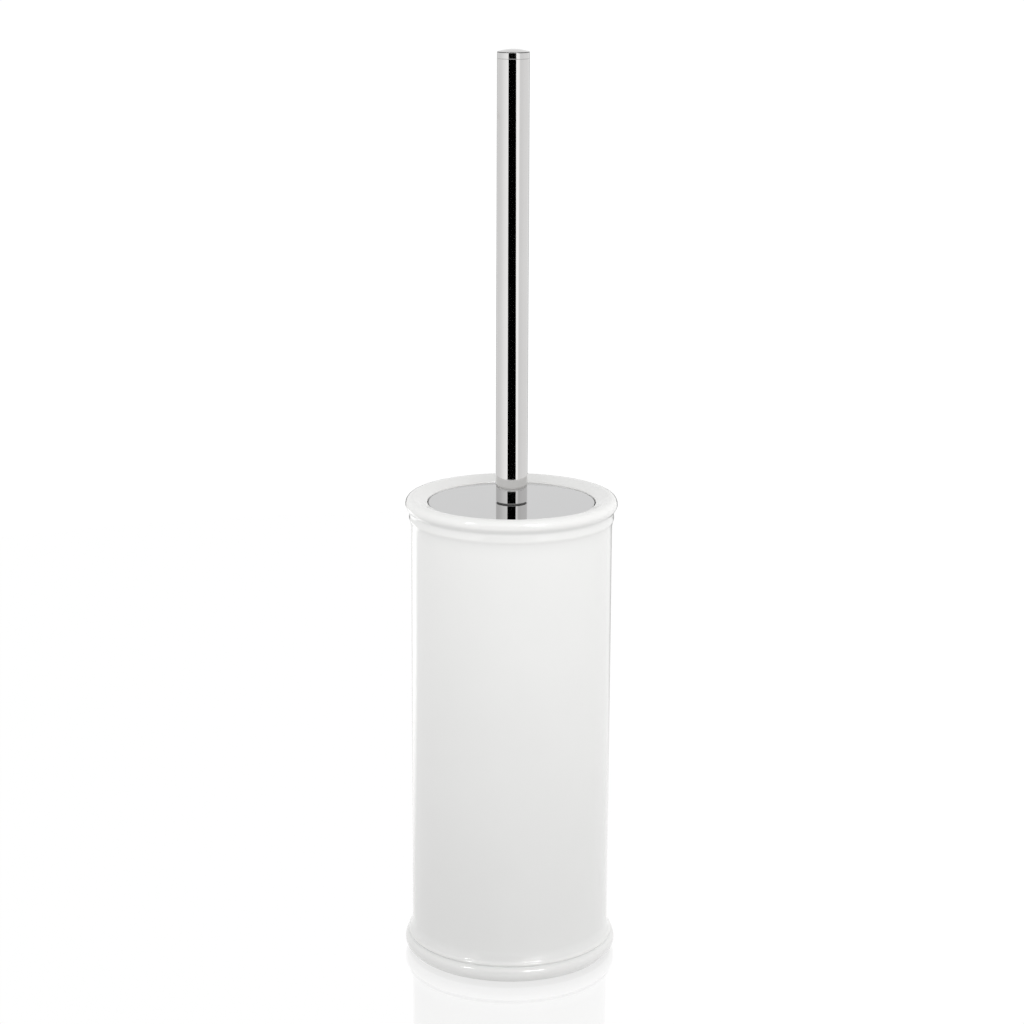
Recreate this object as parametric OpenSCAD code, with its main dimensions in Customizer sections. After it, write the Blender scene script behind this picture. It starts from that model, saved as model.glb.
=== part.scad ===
// Toilet brush holder: a glazed ceramic pot, and a brush that hangs in it from its lid plate.
// +Z is up. The origin is on the floor, under the centre of the pot. Millimetres.

/* [Pot] */
// Height of the rim's crest above the floor
pot_h = 214.2; // [190:0.2:240]
// Outer diameter of the plain body
body_d = 89.8; // [87:0.2:96]
// Thickness of the pot's side wall
wall_t = 4.5; // [3.5:0.1:5.5]
// Thickness of the pot's floor
floor_t = 6; // [5:0.2:8]
// Radius of the corner between the inner wall and the floor
inner_corner_r = 6; // [3:0.5:12]

/* [Rim] */
// How far the rim bead stands outside the body
rim_overhang = 2.45; // [1.8:0.05:3.4]
// Section radius of the rim bead
rim_bead_r = 3.2; // [2.8:0.1:3.6]
// How far the collar bead under the rim stands outside the body
collar_overhang = 0.9; // [0.6:0.05:1.4]
// Section radius of the collar bead
collar_bead_r = 2.5; // [2:0.1:3]
// Height of the groove between rim and collar
collar_groove_h = 0.55; // [0.2:0.05:1]
// How far the groove between rim and collar stands outside the body
collar_groove_overhang = 0.5; // [0:0.1:0.6]
// Height of the fillet between the collar bead and the body
collar_fillet_h = 3; // [2:0.1:4]
// How far the fillet under the collar bead stands outside the body
collar_fillet_w = 0.5; // [0.3:0.1:0.7]
// Diameter of the mouth, which the brush head passes through
mouth_d = 70; // [67:0.5:71]
// Height of the straight part of the mouth
mouth_h = 5; // [3:0.5:8]
// Height of the slope from the mouth to the inner wall
shoulder_h = 6; // [4:0.5:10]

/* [Foot] */
// How far the foot bead stands outside the body
foot_overhang = 3.3; // [2.6:0.05:4]
// Section radius of the foot bead
foot_bead_r = 4.2; // [3.6:0.1:4.6]
// Depth by which the foot bead is cut flat underneath
foot_flat = 0.2; // [0.1:0.05:0.5]
// Height of the ridge's middle above the foot bead's middle
ridge_rise = 3.9; // [3.5:0.1:4.4]
// How far the ridge above the foot bead stands outside the body
ridge_overhang = 2; // [1.6:0.1:2.4]
// Section radius of the ridge
ridge_r = 1.4; // [1.2:0.1:1.8]
// Height of the cove between the ridge and the body
cove_h = 6.4; // [5.6:0.1:8]
// Radius of the cove
cove_r = 12; // [10:0.1:16]
// Depth of the recess under the pot's floor
recess_depth = 1.6; // [0.8:0.1:2.4]
// Width of the flat ring that the foot pads are stuck to
foot_ring_w = 8; // [7.6:0.1:9]
// Number of foot pads
pad_count = 4; // [3:1:6]
// Diameter of a foot pad
pad_d = 6.4; // [5:0.1:7]
// Height by which a foot pad holds the pot above the floor
pad_h = 0.9; // [0.5:0.1:1.5]

/* [Lid] */
// Width of the ledge round the mouth that carries the lid plate's edge
lid_seat_w = 2.1; // [1.8:0.1:2.8]
// Thickness of the lid plate
lid_t = 1.5; // [1:0.1:2]
// Width of the chamfer round the lid plate's top edge
lid_edge = 0.3; // [0.2:0.05:0.4]
// Depth of the lid plate's top below the rim's crest
lid_drop = 2.7; // [2.2:0.1:3.4]
// Height of the recess's edge above the lid plate's top
recess_lip = 0.4; // [0:0.1:0.8]
// Thickness of the seat ring's flange, under the lid plate
seat_ring_t = 1.2; // [0.8:0.1:1.6]
// Depth that the seat ring's collar reaches into the mouth
seat_collar_l = 3; // [1.5:0.5:4.5]
// Thickness of the seat ring's collar
seat_collar_t = 1.4; // [1:0.1:2]

/* [Bush] */
// Outer diameter of the bush, in the lid plate's hole
bush_d = 11; // [10:0.5:12.5]
// Diameter of the bush's flange, under the lid plate
bush_flange_d = 18; // [16:0.5:22]
// Thickness of the bush's flange
bush_flange_t = 1.2; // [1:0.1:2]
// Thickness of the thrust washer under the bush
thrust_washer_t = 0.8; // [0.5:0.1:1.2]

/* [Handle] */
// Height of the handle above the lid plate, with its cap
handle_l = 199.4; // [150:0.2:240]
// Outer diameter of the handle tube
handle_d = 14; // [13.6:0.1:16]
// Wall of the handle tube
tube_wall = 1; // [0.8:0.1:1.2]
// Thickness of the washer between the tube and the lid plate
handle_washer_t = 0.5; // [0.3:0.1:0.8]
// How far the washer's edge lies inside the tube's outer face
handle_washer_inset = 0.5; // [0.2:0.1:0.8]
// Width of the bevel at the tube's lower edge
tube_bevel = 0.25; // [0.1:0.05:0.4]
// Height of the cap's visible band
cap_band_h = 2.85; // [2:0.05:4]
// Height of the cap's crown above its band
cap_crown_h = 1.1; // [0.4:0.1:1.4]
// Length of the cap's spigot inside the tube
cap_spigot_l = 12; // [9:0.5:18]
// Section diameter of the soft ring that grips the tube
grip_ring_t = 1.4; // [1.2:0.1:1.6]

/* [Spindle] */
// Diameter of the spindle's journal, in the bush
journal_d = 8; // [7.6:0.1:8.4]
// Diameter of the threads at both ends of the stem
thread_d = 6; // [5:0.1:6.4]
// Length of thread in the tube insert
insert_thread_l = 14; // [10:0.5:18]
// Length of the tube insert
insert_l = 18; // [16:0.5:24]
// Diameter of the spindle's shoulder
shoulder_d = 14; // [12:0.5:16]
// Thickness of the spindle's shoulder
shoulder_t = 1.5; // [1.2:0.1:2.5]

/* [Stem] */
// Outer diameter of the stem tube
stem_d = 10; // [9:0.1:11]
// Wall of the stem tube
stem_wall = 0.8; // [0.6:0.1:1]
// Length of the spigots pressed into the stem's ends
stem_spigot_l = 16; // [10:0.5:24]
// Thickness of the head stud's flange
stud_flange_t = 1.5; // [1.2:0.1:2.5]
// Length of thread in the brush head
stud_thread_l = 12; // [9:0.5:13]
// Thickness of the seal washer
seal_t = 1; // [0.8:0.1:1.5]

/* [Head] */
// Gap between the lowest bristles and the pot's floor
floor_gap = 13; // [11:0.5:18]
// Radial gap between the bristles and the mouth
head_gap = 1.5; // [1:0.1:3]
// Diameter of the brush core
core_d = 22; // [21.4:0.1:24]
// Diameter of the core's neck
neck_d = 15; // [14:0.5:17]
// Height of the core's neck
neck_h = 10; // [7:0.5:12]
// Height of the taper between the neck and the core
neck_taper_h = 2; // [1:0.5:4]
// Height of core between the taper and the top ring of tufts
core_margin = 3.5; // [2.6:0.1:5]
// Length of the moulded-in threaded insert
core_insert_l = 15; // [14:0.5:17]
// Wall of the moulded-in threaded insert
core_insert_wall = 1.2; // [0.9:0.1:1.6]
// Number of rings of side tufts
ring_count = 7; // [5:1:8]
// Height between rings of side tufts
ring_pitch = 6.5; // [6:0.1:7]
// Number of tufts in a ring
tufts_per_ring = 14; // [10:1:14]
// Diameter of a tuft's root, in its hole
tuft_root_d = 2.6; // [2.2:0.05:2.7]
// Diameter of a tuft at its tip
tuft_tip_d = 5.4; // [3.6:0.1:5.8]
// Depth of a tuft hole
tuft_hole_depth = 4; // [3:0.1:4.1]
// Length of the lowest tuft, from the centre of the core's rounded tip
tip_reach = 28; // [24:0.5:30]

/* [Clearances] */
// Radial gap round the journal and the threads
running_gap = 0.05; // [0.02:0.01:0.09]
// Radial gap round the lid plate in its recess
lid_gap = 0.4; // [0.3:0.05:0.6]
// Radial gap between the seat ring's collar and the mouth
collar_gap = 0.4; // [0.3:0.05:0.8]
// Up and down play of the handle in the lid
axial_play = 0.15; // [0.1:0.05:0.3]
// Radial gap between a tuft and its hole
tuft_gap = 0.05; // [0.02:0.01:0.08]

/* [Hidden] */

$fn = 96;
eps = 0.01;

// Pot
body_r = body_d / 2;
inner_r = body_r - wall_t;
foot_z = pad_h;
floor_z = foot_z + floor_t;
foot_bead_z = foot_z + foot_bead_r - foot_flat;
foot_bead_c = body_r + foot_overhang - foot_bead_r;
foot_ring_r = foot_bead_c;
ridge_z = foot_bead_z + ridge_rise;
ridge_c = body_r + ridge_overhang - ridge_r;
rim_z = pot_h - rim_bead_r;
collar_c = body_r + collar_overhang - collar_bead_r;
collar_z = rim_z - rim_bead_r - collar_groove_h - collar_bead_r;
mouth_r = mouth_d / 2;

// Lid, as wide as the ledge that it lies on
lid_r = mouth_r + lid_seat_w;
lid_top = pot_h - lid_drop;
lid_base = lid_top - lid_t;
seat_z = lid_base - seat_ring_t;
lid_recess_r = lid_r + lid_gap;
slope_z = lid_top + recess_lip;
mouth_base = seat_z - mouth_h;
seat_collar_r = mouth_r - collar_gap;

// The rim bead stands out from the body, and further where a wide lid's recess needs it.
rim_c = max(body_r + rim_overhang, lid_recess_r + 2 * rim_bead_r + lid_gap) - rim_bead_r;

// The slope from the lid's recess touches the rim bead at this angle from straight up.
slope_run = rim_c - lid_recess_r;
slope_rise = rim_z - slope_z;
slope_a = asin(rim_bead_r / norm([slope_run, slope_rise])) + atan2(slope_rise, slope_run);
// The slope ends just inside the bead, so that the two outlines cross.
slope_end_r = rim_bead_r - 0.02;

// Bush, spindle and handle
bush_r = bush_d / 2;
bush_base = lid_base - bush_flange_t;
journal_r = journal_d / 2;
thread_r = thread_d / 2;
thrust_z = bush_base - axial_play - thrust_washer_t;
shoulder_base = thrust_z - shoulder_t;
handle_r = handle_d / 2;
tube_bore_r = handle_r - tube_wall;
tube_base = lid_top + handle_washer_t;
handle_top = lid_top + handle_l;
cap_base = handle_top - cap_crown_h - cap_band_h;
cap_band_top = handle_top - cap_crown_h;
cap_crown_r = (handle_r * handle_r + cap_crown_h * cap_crown_h) / (2 * cap_crown_h);
grip_ring_z = cap_base - cap_spigot_l / 2;
grip_groove_r = tube_bore_r - grip_ring_t;

// Head, placed from the pot's floor upwards, and the stem, which fills the height that is left
head_r = mouth_r - head_gap;
core_r = core_d / 2;
dome_z = floor_z + floor_gap + tip_reach;
first_ring_z = dome_z + tuft_root_d;
last_ring_z = first_ring_z + (ring_count - 1) * ring_pitch;
taper_z = last_ring_z + core_margin;
neck_z = taper_z + neck_taper_h;
core_top = neck_z + neck_h;
neck_r = neck_d / 2;
core_insert_r = thread_r + running_gap + core_insert_wall;
seal_top = core_top + seal_t;
stem_base = seal_top + stud_flange_t;
stem_r = stem_d / 2;
stem_bore_r = stem_r - stem_wall;
tuft_hole_r = tuft_root_d / 2 + tuft_gap;
anchor_t = 0.6;
anchor_w = tuft_root_d * 0.5;
anchor_l = tuft_root_d * 0.8;

// Tuft directions are [azimuth, degrees below level, height of the point that they spread from].
side_tuft_places = [for (ring = [0 : ring_count - 1], i = [0 : tufts_per_ring - 1])
    [(i + (ring % 2) / 2) * 360 / tufts_per_ring, 0, first_ring_z + ring * ring_pitch]];
// Rings of tip tufts are [degrees below level, tufts].
tip_rings = [[34, 10], [62, 5], [90, 1]];
tip_tuft_places = [for (ring = tip_rings, i = [0 : ring[1] - 1])
    [i * 360 / ring[1], ring[0], dome_z]];

// Places its children at a tuft's spread point, with +Z along the tuft.
module tuft_frame(place) {
    translate([0, 0, place[2]])
        rotate([0, 90 + place[1], place[0]])
            children();
}

// Length of a tuft from its spread point: shorter towards the lowest one.
function tuft_reach(place) = head_r + (tip_reach - head_r) * place[1] / 90;

// A straight round tuft, from the top of its anchor to its trimmed tip.
module tuft(place) {
    root = core_r - tuft_hole_depth + anchor_t;
    tuft_frame(place) {
        translate([0, 0, root])
            cylinder(h = core_r - root + eps, d = tuft_root_d, $fn = 24);
        translate([0, 0, core_r])
            cylinder(h = tuft_reach(place) - core_r, d1 = tuft_root_d, d2 = tuft_tip_d, $fn = 24);
    }
}

// Half section of the pot's outside: body, rim bead, slope, collar bead, foot bead, ridge and cove.
module pot_outside() {
    translate([0, foot_z])
        square([body_r, collar_z - foot_z + collar_bead_r / 2]);
    translate([rim_c, rim_z])
        circle(rim_bead_r);
    polygon([[mouth_r - 1, slope_z], [mouth_r - 1, collar_z], [body_r - 1, collar_z],
        [rim_c + rim_bead_r / 3, rim_z - rim_bead_r / 3],
        [rim_c - slope_end_r * sin(slope_a), rim_z + slope_end_r * cos(slope_a)],
        [lid_recess_r, slope_z]]);
    translate([collar_c, collar_z])
        circle(collar_bead_r);
    translate([0, collar_z])
        square([body_r + collar_groove_overhang, rim_z - collar_z]);
    fillet_under_collar();
    translate([foot_bead_c, foot_bead_z])
        circle(foot_bead_r);
    translate([ridge_c, ridge_z])
        circle(ridge_r);
    cove_over_ridge();
}

module fillet_under_collar() {
    fillet_top = collar_z - 0.7 * collar_bead_r;
    fillet_r = (pow(collar_fillet_h, 2) + pow(collar_fillet_w, 2)) / (2 * collar_fillet_w);
    difference() {
        translate([0, fillet_top - collar_fillet_h])
            square([body_r + collar_fillet_w, collar_fillet_h]);
        translate([body_r + fillet_r, fillet_top - collar_fillet_h])
            circle(fillet_r);
    }
}

module cove_over_ridge() {
    difference() {
        translate([0, ridge_z])
            square([ridge_c + ridge_r * cos(30), cove_h]);
        translate([body_r + cove_r, ridge_z + cove_h])
            circle(cove_r);
    }
}

// Half section of the pot's inside, from the floor to above the crest.
module pot_inside() {
    translate([-1, floor_z])
        square([1 + inner_r - inner_corner_r, inner_corner_r + eps]);
    translate([inner_r - inner_corner_r, floor_z + inner_corner_r])
        circle(inner_corner_r);
    translate([-1, floor_z + inner_corner_r])
        square([1 + inner_r, mouth_base - shoulder_h - floor_z - inner_corner_r]);
    polygon([[-1, mouth_base - shoulder_h - eps], [inner_r, mouth_base - shoulder_h - eps],
        [inner_r, mouth_base - shoulder_h], [mouth_r, mouth_base], [-1, mouth_base]]);
    translate([-1, mouth_base - eps])
        square([1 + mouth_r, pot_h - mouth_base + 1]);
    translate([-1, seat_z])
        square([1 + lid_recess_r, pot_h - seat_z + 1]);
}

module ceramic_pot() {
    color("white")
        rotate_extrude()
            difference() {
                pot_outside();
                pot_inside();
                translate([-1, foot_z - 2])
                    square([body_r + foot_overhang + 2, 2]);
                translate([-1, foot_z - 1])
                    square([1 + foot_ring_r - foot_ring_w, 1 + recess_depth]);
            }
}

module foot_pads() {
    color("gainsboro")
        for (i = [0 : pad_count - 1])
            rotate([0, 0, (i + 0.5) * 360 / pad_count])
                translate([foot_ring_r - foot_ring_w / 2, 0, 0])
                    cylinder(h = pad_h, d = pad_d);
}

module lid_plate() {
    color("silver")
        rotate_extrude()
            polygon([[bush_r, lid_base], [lid_r, lid_base], [lid_r, lid_top - lid_edge],
                [lid_r - lid_edge, lid_top], [bush_r, lid_top]]);
}

// A flat flange between the lid plate and its seat, and a collar that centres it in the mouth.
module seat_ring() {
    collar_in_r = seat_collar_r - seat_collar_t;
    color("dimgray")
        rotate_extrude()
            polygon([[collar_in_r, lid_base], [collar_in_r, seat_z - seat_collar_l],
                [seat_collar_r, seat_z - seat_collar_l], [seat_collar_r, seat_z],
                [lid_r - 2 * lid_edge, seat_z], [lid_r - 2 * lid_edge, lid_base]]);
}

module lid_bush() {
    flange_r = bush_flange_d / 2;
    bore_r = journal_r + running_gap;
    color("ivory")
        rotate_extrude()
            polygon([[bore_r, bush_base], [flange_r, bush_base], [flange_r, lid_base],
                [bush_r, lid_base], [bush_r, lid_top], [bore_r, lid_top]]);
}

module handle_tube() {
    color("silver")
        rotate_extrude()
            polygon([[tube_bore_r, tube_base], [handle_r - tube_bevel, tube_base],
                [handle_r, tube_base + tube_bevel], [handle_r, cap_base], [tube_bore_r, cap_base]]);
}

// A band as wide as the tube, a shallow crown, and a spigot with a groove for the grip ring.
module handle_cap() {
    color("silver")
        difference() {
            union() {
                translate([0, 0, cap_base])
                    cylinder(h = cap_band_h, r = handle_r);
                intersection() {
                    translate([0, 0, handle_top - cap_crown_r])
                        sphere(r = cap_crown_r);
                    translate([0, 0, cap_band_top - eps])
                        cylinder(h = cap_crown_h + 1, r = handle_r);
                }
                translate([0, 0, cap_base - cap_spigot_l])
                    cylinder(h = cap_spigot_l + eps, r = tube_bore_r - running_gap);
            }
            rotate_extrude()
                translate([grip_groove_r, grip_ring_z - grip_ring_t / 2])
                    square(grip_ring_t);
        }
}

module cap_grip_ring() {
    color("black")
        translate([0, 0, grip_ring_z])
            rotate_extrude()
                translate([tube_bore_r - grip_ring_t / 2, 0])
                    circle(d = grip_ring_t, $fn = 48);
}

module tube_insert() {
    color("goldenrod")
        difference() {
            translate([0, 0, tube_base])
                cylinder(h = insert_l, r = tube_bore_r);
            translate([0, 0, tube_base - 1])
                cylinder(h = 1 + insert_thread_l + 1, r = thread_r);
        }
}

module handle_washer() {
    color("black")
        translate([0, 0, lid_top])
            difference() {
                cylinder(h = handle_washer_t, r = handle_r - handle_washer_inset);
                translate([0, 0, -1])
                    cylinder(h = handle_washer_t + 2, r = journal_r + running_gap);
            }
}

// Spigot in the stem, shoulder, journal through the bush and thread into the tube insert.
module spindle() {
    color("silver")
        rotate_extrude()
            polygon([[0, shoulder_base - stem_spigot_l], [stem_bore_r, shoulder_base - stem_spigot_l],
                [stem_bore_r, shoulder_base], [shoulder_d / 2, shoulder_base],
                [shoulder_d / 2, thrust_z], [journal_r, thrust_z], [journal_r, tube_base],
                [thread_r, tube_base], [thread_r, tube_base + insert_thread_l],
                [0, tube_base + insert_thread_l]]);
}

module thrust_washer() {
    color("ivory")
        translate([0, 0, thrust_z])
            difference() {
                cylinder(h = thrust_washer_t, r = shoulder_d / 2);
                translate([0, 0, -1])
                    cylinder(h = thrust_washer_t + 2, r = journal_r + running_gap);
            }
}

module brush_stem() {
    color("silver")
        translate([0, 0, stem_base])
            difference() {
                cylinder(h = shoulder_base - stem_base, r = stem_r);
                translate([0, 0, -1])
                    cylinder(h = shoulder_base - stem_base + 2, r = stem_bore_r);
            }
}

// Spigot in the stem, flange on the seal washer, and the thread that holds the brush head.
module head_stud() {
    color("silver")
        rotate_extrude()
            polygon([[0, core_top - stud_thread_l], [thread_r, core_top - stud_thread_l],
                [thread_r, seal_top], [stem_r, seal_top], [stem_r, stem_base],
                [stem_bore_r, stem_base], [stem_bore_r, stem_base + stem_spigot_l],
                [0, stem_base + stem_spigot_l]]);
}

module seal_washer() {
    color("black")
        translate([0, 0, core_top])
            difference() {
                cylinder(h = seal_t, r = stem_r + 1);
                translate([0, 0, -1])
                    cylinder(h = seal_t + 2, r = thread_r + 0.3);
            }
}

// Neck, taper, round body and rounded tip, drilled for the insert and for every tuft.
module brush_core() {
    color("white")
        difference() {
            union() {
                translate([0, 0, neck_z])
                    cylinder(h = neck_h, r = neck_r);
                translate([0, 0, taper_z])
                    cylinder(h = neck_taper_h, r1 = core_r, r2 = neck_r);
                translate([0, 0, dome_z])
                    cylinder(h = taper_z - dome_z, r = core_r);
                translate([0, 0, dome_z])
                    sphere(r = core_r);
            }
            translate([0, 0, core_top - core_insert_l])
                cylinder(h = core_insert_l + 1, r = core_insert_r);
            for (place = concat(side_tuft_places, tip_tuft_places))
                tuft_frame(place)
                    translate([0, 0, core_r - tuft_hole_depth])
                        cylinder(h = tuft_hole_depth + 2, r = tuft_hole_r, $fn = 24);
        }
}

module core_insert() {
    color("goldenrod")
        translate([0, 0, core_top - core_insert_l])
            difference() {
                cylinder(h = core_insert_l, r = core_insert_r);
                translate([0, 0, core_insert_l - stud_thread_l - 1])
                    cylinder(h = stud_thread_l + 2, r = thread_r + running_gap);
            }
}

module side_tufts() {
    color("white")
        for (place = side_tuft_places)
            tuft(place);
}

module tip_tufts() {
    color("white")
        for (place = tip_tuft_places)
            tuft(place);
}

module tuft_anchors() {
    color("silver")
        for (place = concat(side_tuft_places, tip_tuft_places))
            tuft_frame(place)
                translate([-anchor_l / 2, -anchor_w / 2, core_r - tuft_hole_depth])
                    cube([anchor_l, anchor_w, anchor_t]);
}

ceramic_pot();
foot_pads();
lid_plate();
seat_ring();
lid_bush();
handle_tube();
handle_cap();
cap_grip_ring();
tube_insert();
handle_washer();
spindle();
thrust_washer();
brush_stem();
head_stud();
seal_washer();
brush_core();
core_insert();
side_tufts();
tip_tufts();
tuft_anchors();
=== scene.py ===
"""Looks of the toilet brush holder: glazed pot, polished lid and handle, and the brush inside.

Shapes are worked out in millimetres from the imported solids' boxes and stored in metres. Most are
profiles of (r, z) points turned about the upright axis.
"""

import math

import bpy
import numpy as np
from mathutils import Matrix, Vector


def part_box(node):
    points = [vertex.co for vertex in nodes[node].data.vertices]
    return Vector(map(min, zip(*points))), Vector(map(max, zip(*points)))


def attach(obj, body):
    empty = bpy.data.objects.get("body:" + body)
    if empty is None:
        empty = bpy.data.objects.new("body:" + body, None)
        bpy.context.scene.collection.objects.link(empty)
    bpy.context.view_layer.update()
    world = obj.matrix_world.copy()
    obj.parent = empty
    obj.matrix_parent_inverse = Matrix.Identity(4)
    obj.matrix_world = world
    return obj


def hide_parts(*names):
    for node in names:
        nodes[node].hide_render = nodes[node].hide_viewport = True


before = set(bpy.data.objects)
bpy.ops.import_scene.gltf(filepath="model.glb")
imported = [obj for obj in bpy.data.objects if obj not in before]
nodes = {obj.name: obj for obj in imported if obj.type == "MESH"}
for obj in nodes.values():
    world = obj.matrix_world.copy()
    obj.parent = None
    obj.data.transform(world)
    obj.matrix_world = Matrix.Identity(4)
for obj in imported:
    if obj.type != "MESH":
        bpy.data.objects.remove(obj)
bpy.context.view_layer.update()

MM = 0.001
ON_AXIS = 1e-6
rng = np.random.default_rng(7)


def mm_box(node):
    """A CAD node's lowest and highest corner in millimetres."""
    lo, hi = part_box(node)
    return lo / MM, hi / MM


# ---------------------------------------------------------------- sizes in mm
pot_lo, pot_hi = mm_box("ceramic_pot")
lid_lo, lid_hi = mm_box("lid_plate")
tube_lo, tube_hi = mm_box("handle_tube")
cap_lo, cap_hi = mm_box("handle_cap")
grip_lo, grip_hi = mm_box("cap_grip_ring")

# The pot's forms: OUT is how far one stands outside the body, R its radius, and C and Z the
# centre of its circle
POT_TOP, FOOT_Z = pot_hi.z, pot_lo.z
FOOT_OUT, FOOT_R, FOOT_FLAT = 3.3, 4.2, 0.2
BODY_R = round(pot_hi.x, 2) - FOOT_OUT
FOOT_C, FOOT_BEAD_Z = BODY_R + FOOT_OUT - FOOT_R, FOOT_Z + FOOT_R - FOOT_FLAT
RIDGE_OUT, RIDGE_R, RIDGE_RISE = 2.0, 1.4, 3.9
RIDGE_C, RIDGE_Z = BODY_R + RIDGE_OUT - RIDGE_R, FOOT_BEAD_Z + RIDGE_RISE
COVE_H, COVE_R = 6.4, 12.0
RIM_OUT, RIM_R = 2.45, 3.2
RIM_C, RIM_Z = BODY_R + RIM_OUT - RIM_R, POT_TOP - RIM_R
COLLAR_OUT, COLLAR_R, COLLAR_GROOVE_H, COLLAR_GROOVE_OUT = 0.9, 2.5, 0.55, 0.75
COLLAR_C, COLLAR_Z = BODY_R + COLLAR_OUT - COLLAR_R, RIM_Z - RIM_R - COLLAR_GROOVE_H - COLLAR_R
FILLET_H, FILLET_W = 3.0, 0.5
# The crease that parts the ridge from the foot bead: depth, half height, height
CREASE, CREASE_H, CREASE_Z = 0.6, 0.65, RIDGE_Z - RIDGE_R / 2
# Where one form takes over from the next: the body from the foot bead and the fillet from the
# collar bead as shares of their radii, the cove from the ridge in degrees
BODY_STARTS, FILLET_ENDS, COVE_STARTS = 0.75, 0.7, 30.0

# The glaze rounds the foot's forms least, the rest more, and the groove under the rim bead most.
# Its colour takes painted shade where the outline turns inwards and a painted highlight where
# it bulges, by so much per radian of bend in a millimetre, bends being evened out first.
GLAZE_SIGMAS, BEND_SIGMA, SHADE_PER_BEND = (0.18, 0.42, 0.70), 0.5, 0.9
FOOT_FORMS_TOP, BODY_TOP = 40.0, 160.0
# Bare clay on the foot ring, carried up its edge as a painted contact shadow: its height, the fade
# below that, and its reach inside the ring
CLAY_SHADE_H, CLAY_FADE, CLAY_IN = 0.9, 0.3, 1.0

# Underside, inside and mouth
FOOT_RING_W, UNDER_RECESS, UNDER_CHAMFER = 8.0, 1.6, 0.6
LID_TOP, LID_BASE, LID_R = lid_hi.z, lid_lo.z, lid_hi.x
LID_GAP, RECESS_LIP, FLANGE_T = 0.4, 0.4, 1.2
RECESS_R, SEAT_Z = LID_R + LID_GAP, LID_BASE - FLANGE_T
MOUTH_R, MOUTH_H, SHOULDER_H = 35.0, 5.0, 6.0
WALL_T, FLOOR_T, INNER_CORNER_R = 4.5, 6.0, 6.0
INNER_R, FLOOR_Z = BODY_R - WALL_T, FOOT_Z + FLOOR_T

# Pads, lid and its rubber ring, washers
PAD_R, PAD_C, PAD_SHOULDER = 3.2, FOOT_C - FOOT_RING_W / 2, 0.45
LID_HOLE_R, LID_EDGE_W, HOLE_EDGE_W = 5.5, 0.6, 0.4
SEAL_GAP, SEAL_T, FLANGE_INSET = 0.4, 1.4, 0.6
HANDLE_WASHER_HOLE, SEAL_WASHER_HOLE = 4.05, 3.3

# Handle
TUBE_WALL, TUBE_ROWS = 1.0, 60
CROWN_RISE, CROWN_ROWS = 1.1, 24
SPIGOT_INSET, SPIGOT_CHAMFER, GRIP_DEPTH, GRIP_HALF_H = 1.05, 0.6, 1.4, 0.7

# Stud
THREAD_R, THREAD_PITCH, THREAD_DEPTH, THREAD_ROWS = 2.97, 1.0, 0.5, 12
THREAD_CREST, THREAD_FLANK = 0.12, 0.76
LEAD_IN, LEAD_DEPTH, RELIEF_H, RELIEF_DEPTH = 0.9, 1.1, 1.0, 0.75
STUD_SPIGOT_R, STUD_EDGE, SPIGOT_EDGE, STUD_SEGMENTS = 4.2, 0.2, 0.5, 48

# Brush head: where the tufts stand, as (degrees below the horizon, number) for the tip's
HEAD_R, TIP_REACH = MOUTH_R - 1.5, 28.0
CORE_R, HOLE_DEPTH, ROOT_R, TIP_R = 11.0, 4.0, 1.22, 2.75
DOME_Z = mm_box("brush_core")[0].z + CORE_R
RINGS, PER_RING, FIRST_RING, RING_PITCH = 7, 14, DOME_Z + 2.6, 6.5
TIP_ROUNDS = ((34.0, 10), (62.0, 5), (90.0, 1))

# Bristles, and how far each strays from the ideal one: angle at the root and at the tip in
# radians, spread and thickness as shares, bow and trimmed length in mm
PER_TUFT, BRISTLE_R, BRISTLE_SIDES, BRISTLE_ROWS, ANCHOR_RISE, FLARE = 40, 0.17, 5, 6, 0.75, 1.15
STRAY_ROOT, STRAY_TIP, STRAY_SPREAD, STRAY_THICK, STRAY_BOW, STRAY_LENGTH = (
    0.15, 0.22, 0.10, 0.05, 0.30, 0.28)


# ---------------------------------------------------------------- mesh helpers
def make_object(name, verts, faces, body, looks, smooth_angle=35.0):
    """A mesh, given in millimetres, that rides on a body; edges past the angle stay sharp."""
    mesh = bpy.data.meshes.new(name)
    mesh.from_pydata([tuple(v) for v in np.array(verts) * MM], [], [tuple(f) for f in faces])
    mesh.validate()
    for look in looks:
        mesh.materials.append(MATERIALS[look])
    mesh.shade_smooth()
    if smooth_angle:
        mesh.set_sharp_from_angle(angle=math.radians(smooth_angle))
    mesh.update()
    o = bpy.data.objects.new(name, mesh)
    bpy.context.scene.collection.objects.link(o)
    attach(o, body)
    return o


def corner(points, steps=6):
    """A profile whose points (r, z, radius) are rounded at their radius."""
    out = []
    n = len(points)
    for i, p in enumerate(points):
        rad = p[2] if len(p) > 2 else 0.0
        a, b, c = (np.array(points[j % n][:2], float) for j in (i - 1, i, i + 1))
        if rad <= 0:
            out.append(tuple(b))
            continue
        u, w = a - b, c - b
        lu, lw = np.linalg.norm(u), np.linalg.norm(w)
        u, w = u / lu, w / lw
        half = math.acos(max(-1.0, min(1.0, float(u @ w)))) / 2
        # a corner takes at most half of each side
        cut = min(rad / math.tan(half), 0.49 * lu, 0.49 * lw)
        r = cut * math.tan(half)
        centre = b + (u + w) / np.linalg.norm(u + w) * (r / math.sin(half))
        a0, a1 = b + u * cut - centre, b + w * cut - centre
        t0, t1 = math.atan2(a0[1], a0[0]), math.atan2(a1[1], a1[0])
        d = (t1 - t0 + math.pi) % (2 * math.pi) - math.pi
        for k in range(steps + 1):
            t = t0 + d * k / steps
            out.append((centre[0] + r * math.cos(t), centre[1] + r * math.sin(t)))
    return out


def arc(c, z, r, end, count):
    """Points on a circle, from straight out round to an angle in radians."""
    angles = [end * k / (count - 1) for k in range(count)]
    return [(c + r * math.cos(a), z + r * math.sin(a)) for a in angles]


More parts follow.
